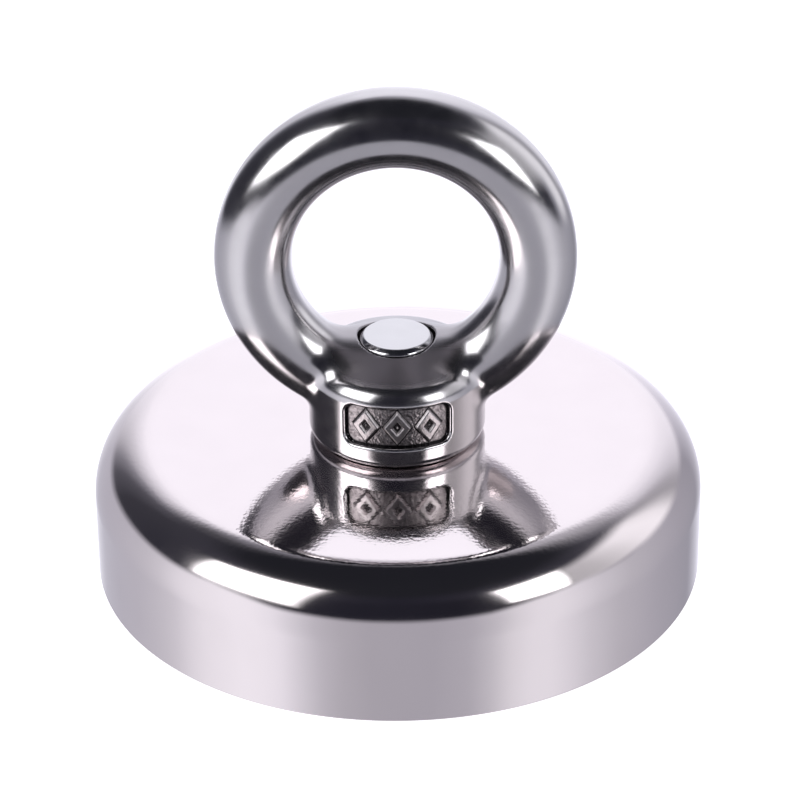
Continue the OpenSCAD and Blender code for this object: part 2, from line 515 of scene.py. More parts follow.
def pebbles(s, z):
    """-1 to 1: cast ground of pebbles about half a millimetre across, three waves whose directions
    are 60 degrees apart, bent by slower waves."""
    bend_s = s + 0.22 * np.sin(TURN * z / 1.7 + 1) + 0.12 * np.sin(TURN * s / 1.1)
    bend_z = z + 0.2 * np.sin(TURN * s / 1.9) + 0.12 * np.sin(TURN * z / 0.9 + 2)
    total = 0
    for turn, length in ((0.2, 0.47), (1.25, 0.52), (2.3, 0.43)):
        total = total + np.sin(TURN * (bend_s * math.cos(turn) + bend_z * math.sin(turn)) / length)
    return total / 3


def eye_distance(x, y, z):
    """Signed distance to the eye nut: a ring of round section, a little widened along Y, flows
    into a collar with a rounded shoulder under a low cone, less its bore and its two sunk panels.
    The bore narrows at its mouth. The blends are merge_blend and round_cut."""
    rho = np.hypot(x, y)
    cone = (rho - TAPPED_R) * math.sin(DOME_SLOPE) + (z - DOME_Z) * math.cos(DOME_SLOPE)
    collar = round_cut(rho - COLLAR_R, cone, SHOULDER_R)
    collar = round_cut(collar, POT_TOP - z, FOOT_R)
    ring = np.hypot(np.hypot(x, z - RING_Z) - RING_R, np.maximum(np.abs(y) - RING_FLAT, 0)) - TUBE_R
    fillet = FILLET + FILLET_GAIN * ease((z - FILLET_Z) / FILLET_RUN)
    body = merge_blend(collar, ring, fillet)
    mouth = (TAPPED_R - MOUTH_R) * ease((z - DOME_Z + MOUTH_DEPTH) / MOUTH_RUN)
    bore = np.maximum(rho - TAPPED_R + mouth, z - RING_Z)
    body = round_cut(body, -bore, EDGE_EASE)
    floor = COLLAR_R - PANEL_DEPTH - PANEL_LAP - rho
    pocket = np.maximum(panel_outline(arc_place(x, y), z), floor)
    return round_cut(body, -pocket, PANEL_EDGE)


def make_eye():
    """Cast eye nut: the surface where eye_distance is 0. Its grid is finer round the panels and the
    bore's mouth."""
    round_panel = 0.5
    fine_x = [(-PANEL_HALF[0] - round_panel, PANEL_HALF[0] + round_panel)]
    fine_y = [(-COLLAR_R - 0.2, -COLLAR_R + 2.8), (COLLAR_R - 2.8, COLLAR_R + 0.2)]
    fine_z = [(PANEL_Z - PANEL_HALF[1] - round_panel, PANEL_Z + PANEL_HALF[1] + round_panel),
              (DOME_Z - 0.7, DOME_Z + 0.3)]
    ends = ((-RING_OUT, RING_OUT, fine_x), (-COLLAR_R, COLLAR_R, fine_y),
            (POT_TOP, RING_Z + RING_OUT, fine_z))
    axes = [graded(low - EYE_ROOM, high + EYE_ROOM, step, fine_step, bands)
            for (low, high, bands), (step, fine_step) in zip(ends, EYE_STEPS)]
    points, quads = surface_net(eye_distance, axes)
    points, normals = settle(eye_distance, points, quads)
    return skin("eye_casting", points, quads.tolist(), normals)


def make_panel(name, side):
    """Sunk panel of the collar: over a grid of arc s and height z its radius is the pocket's floor
    plus the lozenges' rise, and plus pebbles where there is no lozenge. Behind it runs a plain
    inner face, and both ends are capped. A surface attribute is 0 in the crevices along the
    lozenges' feet and along the pocket's rim, where the material paints shade near black, half
    on the ground and 1 on the lozenges."""
    half_s, half_z = (half + PANEL_LAP for half in PANEL_HALF)
    s = np.linspace(-half_s, half_s, 190)[:, None]
    z = np.linspace(PANEL_Z - half_z, PANEL_Z + half_z, 78)[None]
    raised = lozenge_height(s, z)
    floor_r = COLLAR_R - PANEL_DEPTH
    face_r = floor_r + LOZENGE_RISE * raised + PEBBLE_RISE * pebbles(s, z) * (1 - raised)
    back_r = floor_r - PANEL_BACKING + 0 * s
    radius = np.concatenate([face_r, back_r, back_r], 1)
    height = np.concatenate([z, z[:, -1:], z[:, :1]], 1) + 0 * s
    angle = s / COLLAR_R + 0 * height
    points = np.stack([side * radius * np.sin(angle), -side * radius * np.cos(angle), height], -1)
    steps, loop = height.shape
    caps = [list(range(loop))[::-1], list(range((steps - 1) * loop, steps * loop))]
    panel = skin(name, points.reshape(-1, 3), grid_faces(steps, loop, loop=True).tolist() + caps)
    panel.data.set_sharp_from_angle(angle=PANEL_SHARP)
    # Painted shade: relief drops to 0 along the pocket's rim and in the crevices at the lozenges' feet,
    # and the material turns that near black
    wall = ease(1.5 + panel_outline(s, z) / PANEL_EDGE)
    foot = ease(1 - np.abs(lozenge_edge(s, z) - CREVICE[0]) / CREVICE[1])
    relief = 0.5 + 0.5 * raised - 0.5 * np.maximum(wall, foot * (1 - raised))
    mark(panel, "relief", np.concatenate([relief, np.zeros((steps, 2))], 1))
    return panel


def make_tapped_thread():
    """Thread inside the eye nut: a sleeve whose inner face is the bolt's helix moved out by
    THREAD_GAP and whose outer face lies within the casting. The thread fades at both ends."""
    low, high = POT_TOP + SLEEVE_FOOT_GAP, DOME_Z - SLEEVE_TOP_GAP
    angle = np.linspace(0, TURN, 120, endpoint=False)[:, None]
    z = np.arange(high, low, -PITCH / 20)
    fade = ease((z - low) / (PITCH / 2)) * ease((high - z) / (PITCH / 2))
    wall = TAPPED_R - SLEEVE_PROUD
    cut = np.minimum(thread_radius(angle, z, CREST_R + THREAD_GAP), wall)
    inner_r = wall - (wall - cut) * fade
    outer_r = TAPPED_R + SLEEVE_WALL
    radius = np.concatenate([outer_r + 0 * angle, outer_r + 0 * angle, inner_r], 1)
    height = np.concatenate([[z[-1], z[0]], z]) + 0 * angle
    points = np.stack([radius * np.cos(angle), radius * np.sin(angle), height], -1)
    sleeve = wrap("tapped_thread", points, closed=True)
    sleeve.data.set_sharp_from_angle(angle=THREAD_SHARP)
    return sleeve


# ---------------------------------------------------------------- node helpers

def linear(code):
    """An sRGB hex colour as linear RGBA."""
    channels = [int(code[i:i + 2], 16) / 255 for i in (1, 3, 5)]
    return [c / 12.92 if c <= 0.04045 else ((c + 0.055) / 1.055) ** 2.4 for c in channels] + [1.0]


def per_mm(size):
    """Pattern scale on Object coordinates in metres, for features about size millimetres across."""
    return 1 / (size * MM)


def add(tree, kind, inputs=None, **settings):
    """A node with its settings, and its inputs set to values or linked to other nodes' sockets."""
    made = tree.nodes.new(kind)
    for key, value in settings.items():
        setattr(made, key, value)
    for key, value in (inputs or {}).items():
        if isinstance(value, bpy.types.NodeSocket):
            tree.links.new(value, made.inputs[key])
        else:
            made.inputs[key].default_value = value
    return made


def fresh_tree(owner):
    """The owner's node tree, emptied."""
    owner.use_nodes = True
    owner.node_tree.nodes.clear()
    return owner.node_tree


# Radians of a wave texture's ripple across one unit of its scale
WAVE_RADIANS = 20


# ---------------------------------------------------------------- materials

def bright_nickel_plate():
    """Bright nickel plated on turned and buffed low-carbon steel.

    The plate is almost a mirror, a little warm. The flat top keeps a fine sandy orange peel, drawn
    at about half a millimetre so that it shows, which frays the edges of what it mirrors. The
    rounded corner and the wall are turned, so they are smoother and a little softer.
    """
    material = bpy.data.materials.new("bright_nickel_plate")
    tree = fresh_tree(material)
    place = add(tree, "ShaderNodeTexCoord").outputs["Object"]
    height = add(tree, "ShaderNodeSeparateXYZ", {0: place}).outputs["Z"]
    below, above = ((POT_TOP - depth) * MM for depth in SANDED_DEPTHS)
    sanded = add(tree, "ShaderNodeMapRange", {
        "Value": height, "From Min": below, "From Max": above, "To Min": 0.12, "To Max": 1.0,
    }).outputs["Result"]
    grain = add(tree, "ShaderNodeTexNoise", {
        "Vector": place, "Scale": per_mm(0.5), "Detail": 2.0, "Roughness": 0.45,
    }).outputs["Fac"]
    peel = add(tree, "ShaderNodeMath", {0: grain, 1: sanded}, operation="MULTIPLY").outputs[0]
    swell = add(tree, "ShaderNodeTexNoise", {
        "Vector": place, "Scale": per_mm(9.0), "Detail": 1.0, "Roughness": 0.5,
    }).outputs["Fac"]
    cloud = add(tree, "ShaderNodeTexNoise", {
        "Vector": place, "Scale": per_mm(6.0), "Detail": 3.0, "Roughness": 0.5,
    }).outputs["Fac"]
    colour = add(tree, "ShaderNodeMix", {
        0: cloud, 6: linear("#DFD7D7"), 7: linear("#E4DCDC"),
    }, data_type="RGBA").outputs[2]
    haze = add(tree, "ShaderNodeMapRange", {
        "Value": cloud, "From Min": 0.3, "From Max": 0.7, "To Min": 0.05, "To Max": 0.08,
    }).outputs["Result"]
    turned = add(tree, "ShaderNodeMapRange", {
        "Value": sanded, "From Min": 0.12, "From Max": 1.0, "To Min": 0.045, "To Max": 0.0,
    }).outputs["Result"]
    softness = add(tree, "ShaderNodeMath", {0: haze, 1: turned}, operation="ADD").outputs[0]
    waved = add(tree, "ShaderNodeBump", {
        "Height": swell, "Distance": 0.02 * MM, "Strength": 1.0,
    }).outputs["Normal"]
    peeled = add(tree, "ShaderNodeBump", {
        "Height": peel, "Distance": 0.009 * MM, "Strength": 1.0, "Normal": waved,
    }).outputs["Normal"]
    plate = add(tree, "ShaderNodeBsdfPrincipled", {
        "Base Color": colour, "Metallic": 1.0, "Roughness": softness, "Normal": peeled,
    })
    add(tree, "ShaderNodeOutputMaterial", {"Surface": plate.outputs["BSDF"]})
    return material


def electropolished_stainless():
    """Electropolished cast 18/8 stainless steel.

    Smooth and greyer than nickel, with the slow unevenness that casting and belt polishing leave.
    The low cone between the ring's feet is rougher, and its colour is darkened there as painted shade.
    """
    material = bpy.data.materials.new("electropolished_stainless")
    tree = fresh_tree(material)
    place = add(tree, "ShaderNodeTexCoord").outputs["Object"]
    parts = add(tree, "ShaderNodeSeparateXYZ", {0: place})
    flat = add(tree, "ShaderNodeCombineXYZ", {"X": parts.outputs["X"], "Y": parts.outputs["Y"]})
    rho = add(tree, "ShaderNodeVectorMath", {0: flat.outputs[0]}, operation="LENGTH").outputs["Value"]
    near, far = (radius * MM for radius in SHADED_CONE_RADII)
    within = add(tree, "ShaderNodeMapRange", {
        "Value": rho, "From Min": near, "From Max": far, "To Min": 1.0, "To Max": 0.0,
    }).outputs["Result"]
    below, above = (height * MM for height in SHADED_CONE_HEIGHTS)
    under = add(tree, "ShaderNodeMapRange", {
        "Value": parts.outputs["Z"], "From Min": below, "From Max": above, "To Min": 1.0, "To Max": 0.0,
    }).outputs["Result"]
    dull_and_shaded = add(tree, "ShaderNodeMath", {0: within, 1: under}, operation="MULTIPLY").outputs[0]
    cloud = add(tree, "ShaderNodeTexNoise", {
        "Vector": place, "Scale": per_mm(3.0), "Detail": 2.0, "Roughness": 0.5,
    }).outputs["Fac"]
    bright = add(tree, "ShaderNodeMix", {
        0: cloud, 6: linear("#C8C5C6"), 7: linear("#CECBCC"),
    }, data_type="RGBA").outputs[2]
    # Painted shade: on the cone between the ring's feet the colour goes to a much darker grey; its
    # roughness also rises there for a duller finish
    colour = add(tree, "ShaderNodeMix", {
        0: dull_and_shaded, 6: bright, 7: linear("#918D90"),
    }, data_type="RGBA").outputs[2]
    streak = add(tree, "ShaderNodeTexNoise", {
        "Vector": place, "Scale": per_mm(2.2), "Detail": 3.0, "Roughness": 0.5,
    }).outputs["Fac"]
    polish = add(tree, "ShaderNodeMapRange", {
        "Value": streak, "From Min": 0.3, "From Max": 0.7, "To Min": 0.16, "To Max": 0.22,
    }).outputs["Result"]
    softness = add(tree, "ShaderNodeMix", {0: dull_and_shaded, 2: polish, 3: 0.28}).outputs[0]
    swell = add(tree, "ShaderNodeTexNoise", {
        "Vector": place, "Scale": per_mm(5.0), "Detail": 1.5, "Roughness": 0.5,
    }).outputs["Fac"]
    waved = add(tree, "ShaderNodeBump", {
        "Height": swell, "Distance": 0.03 * MM, "Strength": 1.0,
    }).outputs["Normal"]
    skin_grain = add(tree, "ShaderNodeTexNoise", {
        "Vector": place, "Scale": per_mm(0.22), "Detail": 2.0, "Roughness": 0.5,
    }).outputs["Fac"]
    grained = add(tree, "ShaderNodeBump", {
        "Height": skin_grain, "Distance": 0.0006 * MM, "Strength": 1.0, "Normal": waved,
    }).outputs["Normal"]
    steel = add(tree, "ShaderNodeBsdfPrincipled", {
        "Base Color": colour, "Metallic": 1.0, "Roughness": softness, "Normal": grained,
    })
    add(tree, "ShaderNodeOutputMaterial", {"Surface": steel.outputs["BSDF"]})
    return material


def as_cast_ground():
    """Stainless steel left as cast in the sunk panels, where no belt reaches.

    Dull mottled grey metal with sandy grains about a third of a millimetre across, polished a
    little on the raised lozenges. Its crevices and the rim of its pocket carry painted shade, near
    black.
    """
    material = bpy.data.materials.new("as_cast_ground")
    tree = fresh_tree(material)
    place = add(tree, "ShaderNodeTexCoord").outputs["Object"]
    relief = add(tree, "ShaderNodeAttribute", attribute_name="relief").outputs["Fac"]
    mottle = add(tree, "ShaderNodeTexNoise", {
        "Vector": place, "Scale": per_mm(0.45), "Detail": 3.0, "Roughness": 0.6,
    }).outputs["Fac"]
    patches = add(tree, "ShaderNodeMapRange", {
        "Value": mottle, "From Min": 0.35, "From Max": 0.65, "To Min": 0.0, "To Max": 1.0,
    }).outputs["Result"]
    mottled = add(tree, "ShaderNodeMix", {
        0: patches, 6: linear("#6E696A"), 7: linear("#ABA5A5"),
    }, data_type="RGBA").outputs[2]
    open_ground = add(tree, "ShaderNodeMapRange", {
        "Value": relief, "From Min": 0.05, "From Max": 0.45, "To Min": 0.0, "To Max": 1.0,
    }).outputs["Result"]
    # Painted shade: where relief is low, in the crevices and along the pocket's rim, the colour goes to
    # near black
    crevice_shaded = add(tree, "ShaderNodeMix", {
        0: open_ground, 6: linear("#1E1C1E"), 7: mottled,
    }, data_type="RGBA").outputs[2]
    rubbed = add(tree, "ShaderNodeMapRange", {
        "Value": relief, "From Min": 0.6, "From Max": 0.9, "To Min": 0.0, "To Max": 1.0,
    }).outputs["Result"]
    colour = add(tree, "ShaderNodeMix", {
        0: rubbed, 6: crevice_shaded, 7: linear("#ADA8A8"),
    }, data_type="RGBA").outputs[2]
    softness = add(tree, "ShaderNodeMapRange", {
        "Value": relief, "From Min": 0.55, "From Max": 0.95, "To Min": 0.36, "To Max": 0.32,
    }).outputs["Result"]
    sand = add(tree, "ShaderNodeTexNoise", {
        "Vector": place, "Scale": per_mm(0.34), "Detail": 2.0, "Roughness": 0.5,
    }).outputs["Fac"]
    sanded = add(tree, "ShaderNodeBump", {
        "Height": sand, "Distance": 0.045 * MM, "Strength": 1.0,
    }).outputs["Normal"]
    steel = add(tree, "ShaderNodeBsdfPrincipled", {
        "Base Color": colour, "Metallic": 1.0, "Roughness": softness, "Normal": sanded,
    })
    add(tree, "ShaderNodeOutputMaterial", {"Surface": steel.outputs["BSDF"]})
    return material


def polished_bolt_steel():
    """Turned and polished A2 stainless steel bar: a clear mirror with faint turning marks.

    A radian of the ripple in 0.12 mm puts the marks three quarters of a millimetre apart, coarser
    than real ones so that they show.
    """
    material = bpy.data.materials.new("polished_bolt_steel")
    tree = fresh_tree(material)
    place = add(tree, "ShaderNodeTexCoord").outputs["Object"]
    turning = add(tree, "ShaderNodeTexWave", {
        "Vector": place, "Scale": per_mm(0.12) / WAVE_RADIANS, "Distortion": 0.4, "Detail": 1.0,
    }, wave_type="RINGS", rings_direction="Z").outputs["Fac"]
    cloud, haze, swell = (add(tree, "ShaderNodeTexNoise", {
        "Vector": place, "Scale": per_mm(size), "Detail": 2.0, "Roughness": 0.5,
    }).outputs["Fac"] for size in (2.0, 1.0, 2.5))
    colour = add(tree, "ShaderNodeMix", {
        0: cloud, 6: linear("#C9C8C9"), 7: linear("#D1D0D1"),
    }, data_type="RGBA").outputs[2]
    softness = add(tree, "ShaderNodeMapRange", {
        "Value": haze, "From Min": 0.3, "From Max": 0.7, "To Min": 0.09, "To Max": 0.16,
    }).outputs["Result"]
    waved = add(tree, "ShaderNodeBump", {
        "Height": swell, "Distance": 0.006 * MM, "Strength": 1.0,
    }).outputs["Normal"]
    marked = add(tree, "ShaderNodeBump", {
        "Height": turning, "Distance": 0.0004 * MM, "Strength": 1.0, "Normal": waved,
    }).outputs["Normal"]
    steel = add(tree, "ShaderNodeBsdfPrincipled", {
        "Base Color": colour, "Metallic": 1.0, "Roughness": softness, "Normal": marked,
    })
    add(tree, "ShaderNodeOutputMaterial", {"Surface": steel.outputs["BSDF"]})
    return material


def satin_nickel_magnet():
    """Nickel plate on sintered neodymium iron boron: satin, with a fine crystalline bloom."""
    material = bpy.data.materials.new("satin_nickel_magnet")
    tree = fresh_tree(material)
    place = add(tree, "ShaderNodeTexCoord").outputs["Object"]
    bloom = add(tree, "ShaderNodeTexNoise", {
        "Vector": place, "Scale": per_mm(0.5), "Detail": 4.0, "Roughness": 0.65,
    }).outputs["Fac"]
    colour = add(tree, "ShaderNodeMix", {
        0: bloom, 6: linear("#BDB8B2"), 7: linear("#CDC8C2"),
    }, data_type="RGBA").outputs[2]
    softness = add(tree, "ShaderNodeMapRange", {
        "Value": bloom, "From Min": 0.3, "From Max": 0.7, "To Min": 0.22, "To Max": 0.34,
    }).outputs["Result"]
    bloomed = add(tree, "ShaderNodeBump", {
        "Height": bloom, "Distance": 0.006 * MM, "Strength": 1.0,
    }).outputs["Normal"]
    plate = add(tree, "ShaderNodeBsdfPrincipled", {
        "Base Color": colour, "Metallic": 1.0, "Roughness": softness, "Normal": bloomed,
    })
    add(tree, "ShaderNodeOutputMaterial", {"Surface": plate.outputs["BSDF"]})
    return material


def turned_bush_steel():
    """Nickel-plated free-cutting steel: circular turning marks on its end face.

    A radian of the ripple in 0.25 mm puts the marks 1.6 mm apart, coarser than real ones so that
    they show.
    """
    material = bpy.data.materials.new("turned_bush_steel")
    tree = fresh_tree(material)
    place = add(tree, "ShaderNodeTexCoord").outputs["Object"]
    turning = add(tree, "ShaderNodeTexWave", {
        "Vector": place, "Scale": per_mm(0.25) / WAVE_RADIANS, "Distortion": 0.3, "Detail": 1.0,
    }, wave_type="RINGS", rings_direction="Z").outputs["Fac"]
    colour = add(tree, "ShaderNodeMix", {
        0: turning, 6: linear("#C6C1BA"), 7: linear("#D2CDC6"),
    }, data_type="RGBA").outputs[2]
    marked = add(tree, "ShaderNodeBump", {
        "Height": turning, "Distance": 0.003 * MM, "Strength": 1.0,
    }).outputs["Normal"]
    steel = add(tree, "ShaderNodeBsdfPrincipled", {
        "Base Color": colour, "Metallic": 1.0, "Roughness": 0.2, "Normal": marked,
    })
    add(tree, "ShaderNodeOutputMaterial", {"Surface": steel.outputs["BSDF"]})
    return material


def cured_epoxy():
    """Black potting epoxy, poured and cured: glossy, with dust nibs and small craters."""
    material = bpy.data.materials.new("cured_epoxy")
    tree = fresh_tree(material)
    place = add(tree, "ShaderNodeTexCoord").outputs["Object"]
    nibs = add(tree, "ShaderNodeTexNoise", {
        "Vector": place, "Scale": per_mm(0.6), "Detail": 3.0, "Roughness": 0.5,
    }).outputs["Fac"]
    colour = add(tree, "ShaderNodeMix", {
        0: nibs, 6: linear("#15161A"), 7: linear("#24252A"),
    }, data_type="RGBA").outputs[2]
    softness = add(tree, "ShaderNodeMapRange", {
        "Value": nibs, "From Min": 0.3, "From Max": 0.7, "To Min": 0.18, "To Max": 0.4,
    }).outputs["Result"]
    cratered = add(tree, "ShaderNodeBump", {
        "Height": nibs, "Distance": 0.04 * MM, "Strength": 1.0,
    }).outputs["Normal"]
    resin = add(tree, "ShaderNodeBsdfPrincipled", {
        "Base Color": colour, "Roughness": softness, "IOR": 1.55, "Normal": cratered,
    })
    add(tree, "ShaderNodeOutputMaterial", {"Surface": resin.outputs["BSDF"]})
    return material


def anaerobic_adhesive():
    """Cured retaining adhesive: an olive film, mottled where it was squeezed out."""
    material = bpy.data.materials.new("anaerobic_adhesive")
    tree = fresh_tree(material)
    place = add(tree, "ShaderNodeTexCoord").outputs["Object"]
    mottle = add(tree, "ShaderNodeTexNoise", {
        "Vector": place, "Scale": per_mm(2.0), "Detail": 3.0, "Roughness": 0.5,
    }).outputs["Fac"]
    colour = add(tree, "ShaderNodeMix", {
        0: mottle, 6: linear("#6E6A3C"), 7: linear("#8A8550"),
    }, data_type="RGBA").outputs[2]
    softness = add(tree, "ShaderNodeMapRange", {
        "Value": mottle, "From Min": 0.3, "From Max": 0.7, "To Min": 0.25, "To Max": 0.45,
    }).outputs["Result"]
    squeezed = add(tree, "ShaderNodeBump", {
        "Height": mottle, "Distance": 0.02 * MM, "Strength": 1.0,
    }).outputs["Normal"]
    glue = add(tree, "ShaderNodeBsdfPrincipled", {
        "Base Color": colour, "Roughness": softness, "IOR": 1.5, "Normal": squeezed,
    })
    add(tree, "ShaderNodeOutputMaterial", {"Surface": glue.outputs["BSDF"]})
    return material


def dress(piece, material, body, slot, *nodes):
    """Gives a new piece its material and body, and hides the CAD nodes that it stands for. slot is not
    used.
    """
    piece.data.materials.append(material)
    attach(piece, body)
    if nodes:
        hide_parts(*nodes)


nickel = bright_nickel_plate()
stainless = electropolished_stainless()
bolt_steel = polished_bolt_steel()
epoxy = cured_epoxy()

dress(make_pot(), nickel, "magnet_base", "pot_plating", "steel_pot")
dress(make_magnet(), satin_nickel_magnet(), "magnet_base", "magnet_plating", "ring_magnet")
dress(make_resin("outer_resin", MAGNET_OUT, RECESS_R), epoxy, "magnet_base", "potting_resin",
      "outer_potting_ring")
dress(make_resin("inner_resin", BUSH_R, MAGNET_IN), epoxy, "magnet_base", "potting_resin",
      "inner_potting_ring")
dress(make_bush(), turned_bush_steel(), "magnet_base", "bush_plating", "centre_bush")
dress(make_bolt(), bolt_steel, "bolt", "bolt_steel", "countersunk_bolt")
dress(make_eye(), stainless, "eye", "eye_steel", "eye_nut")
dress(make_tapped_thread(), stainless, "eye", "eye_steel")
ground = as_cast_ground()
dress(make_panel("panel_front", 1), ground, "eye", "eye_steel")
dress(make_panel("panel_back", -1), ground, "eye", "eye_steel")
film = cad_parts["adhesive_film"]
film.data.materials.clear()
film.data.materials.append(anaerobic_adhesive())


# ---------------------------------------------------------------- floor, light and camera

STUDIO_CENTRE = np.array([0, 0, 25.0])
CARD_LIGHT = 4.2
CARD_EDGE = 0.34
DAYLIGHT = 1.06
SKIRT_R = 126.0
SKIRT_FADE = 14.0
# Azimuths of places on the skirt's upper edge, and their heights
SKIRT_EDGE = ((-180, -160, -118, -98, -78, -62, -50, -38, 28, 42, 60, 80, 180),
              (34, 27, 28, 36, 42, 52, 50, 42, 42, 50, 50, 40, 36))
SKIRT_LOW = -260.0
# Elevations between which one band of the tent gives way to the next, from the table upwards
TABLE_EDGE = (-16, -9)
STAND_TOP = (7, 17)
WALL_TOP = (39, 50)
TENT_TOP = (50, 63)
# How far the table's edge falls towards the left
TABLE_TILT = 0.1
OVERHEAD = (0.017, 0.018, 0.024, 1)
FLOOR_HALF = 6000.0
FLOOR_Z = -0.02


def toward(azimuth, elevation):
    """Unit vector at an azimuth from the camera's side, positive to the right, and an elevation."""
    a, e = math.radians(azimuth), math.radians(elevation)
    return np.array([math.sin(a) * math.cos(e), -math.cos(a) * math.cos(e), math.sin(e)])


def only_mirrored(card):
    """A light card shows in reflections and lights the floor, but is not seen itself."""
    card.visible_camera = False
    card.visible_shadow = False


def light_card(name, azimuth, elevation, reach, facing, roll, half):
    """Glowing rectangle at a place on a sphere round the object, with its normal along facing and
    its sides turned by roll. half is half its width and half its height. Its light fades towards
    its rim over CARD_EDGE of those, as a cloth diffuser's does."""
    centre = STUDIO_CENTRE + reach * toward(azimuth, elevation)
    normal = toward(*facing)
    across = toward(facing[0] + 90, 0)
    up = np.cross(normal, across)
    up = up if up[2] > 0 else -up
    turn = math.radians(roll)
    across, up = (across * math.cos(turn) + up * math.sin(turn),
                  up * math.cos(turn) - across * math.sin(turn))
    count = 25
    share = np.linspace(-1, 1, count)
    sx, sz = (grid[..., None] for grid in np.meshgrid(share, share, indexing="ij"))
    points = centre + sx * half[0] * across + sz * half[1] * up
    card = skin(name, points.reshape(-1, 3), grid_faces(count, count).tolist())
    rim = np.minimum(1 - np.abs(sx), 1 - np.abs(sz)) / CARD_EDGE
    mark(card, "glow", CARD_LIGHT * ease(rim))
    material = bpy.data.materials.new(name)
    tree = fresh_tree(material)
    strength = add(tree, "ShaderNodeAttribute", attribute_name="glow").outputs["Fac"]
    glow = add(tree, "ShaderNodeEmission", {"Color": linear("#FAFBFF"), "Strength": strength})
    add(tree, "ShaderNodeOutputMaterial", {"Surface": glow.outputs["Emission"]})
    card.data.materials.append(material)
    only_mirrored(card)


def azimuth_ramp(tree, x, y, stops):
    """Colour by azimuth: atan2(x, -y) drives a ramp whose stops are (degrees, grey, coolness),
    where coolness is blue over grey."""
    back = add(tree, "ShaderNodeMath", {0: y, 1: -1.0}, operation="MULTIPLY").outputs[0]
    angle = add(tree, "ShaderNodeMath", {0: x, 1: back}, operation="ARCTAN2").outputs[0]
    share = add(tree, "ShaderNodeMapRange", {
        "Value": angle, "From Min": -math.pi, "From Max": math.pi, "To Min": 0.0, "To Max": 1.0,
    }).outputs["Result"]
    ramp = add(tree, "ShaderNodeValToRGB", {"Fac": share})
    elements = ramp.color_ramp.elements
    while len(elements) < len(stops):
        elements.new(0.5)
    for element, (degrees, grey, cool) in zip(elements, stops):
        element.position = (degrees + 180) / 360
        element.color = (grey, grey, grey * cool * DAYLIGHT, 1)
    return ramp.outputs["Color"]


# Light of the table and the tent's lower walls, by azimuth
LOW_STOPS = [
    (-180, 1.3, 1.04), (-158, 1.25, 1.04), (-146, 0.8, 1.05), (-134, 0.6, 1.08), (-118, 0.57, 1.08),
    (-103, 0.6, 1.07), (-95, 0.64, 1.06), (-88, 0.69, 1.05), (-81, 0.77, 1.04), (-74, 0.92, 1.03),
    (-67, 1.03, 1.02), (-60, 1.07, 1.02), (-53, 1.12, 1.02), (-46, 1.11, 1.02), (-39, 1.04, 1.03),
    (-32, 0.83, 1.04), (-25, 0.64, 1.05), (-18, 0.55, 1.05), (-9, 0.5, 1.06), (10, 0.49, 1.07),
    (22, 0.54, 1.06), (29, 0.67, 1.04), (36, 0.88, 1.02), (43, 0.98, 1.02), (50, 0.99, 1.02),
    (57, 0.9, 1.03), (66, 0.75, 1.04), (79, 0.6, 1.05), (100, 0.49, 1.08), (128, 0.38, 1.1),
    (146, 0.8, 1.08), (160, 1.25, 1.05),
]
# Light of the tent's walls, by azimuth. Its left and its back are the same from the table to WALL_TOP.
LEFT_STOPS = [
    (-180, 1.26, 1.03), (-168, 1.2, 1.03), (-160, 0.98, 1.04), (-151, 0.62, 1.05), (-145, 0.28, 1.1),
    (-139, 0.11, 1.15), (-128, 0.05, 1.2), (-100, 0.035, 1.3), (-34, 0.02, 1.45),
]
BACK_STOPS = [
    (112, 1.2, 1.0), (119, 1.1, 1.0), (126, 0.6, 1.02), (130, 0.43, 1.04), (135, 0.5, 1.05),
    (142, 0.78, 1.05), (152, 1.03, 1.04), (165, 1.21, 1.03), (180, 1.26, 1.03),
]
# Just above the table a dark stand is at the right, and above it a pale wall
STAND_STOPS = LEFT_STOPS + [(82, 0.03, 1.4), (94, 0.4, 1.1), (103, 1.0, 1.0)] + BACK_STOPS
WALL_STOPS = LEFT_STOPS + [
    (56, 0.014, 1.45), (60, 0.45, 1.02), (70, 0.55, 1.0), (82, 0.65, 1.0), (92, 0.86, 1.0),
    (102, 1.12, 1.0),
] + BACK_STOPS
# Light of the tent's upper walls
HIGH_STOPS = [
    (-180, 0.5, 1.05), (-165, 0.26, 1.1), (-150, 0.1, 1.1), (-135, 0.05, 1.2), (-90, 0.04, 1.3),
    (0, 0.02, 1.45), (90, 0.04, 1.3), (118, 0.07, 1.2), (130, 0.2, 1.1), (145, 0.4, 1.05),
    (160, 0.52, 1.05), (180, 0.5, 1.05),
]


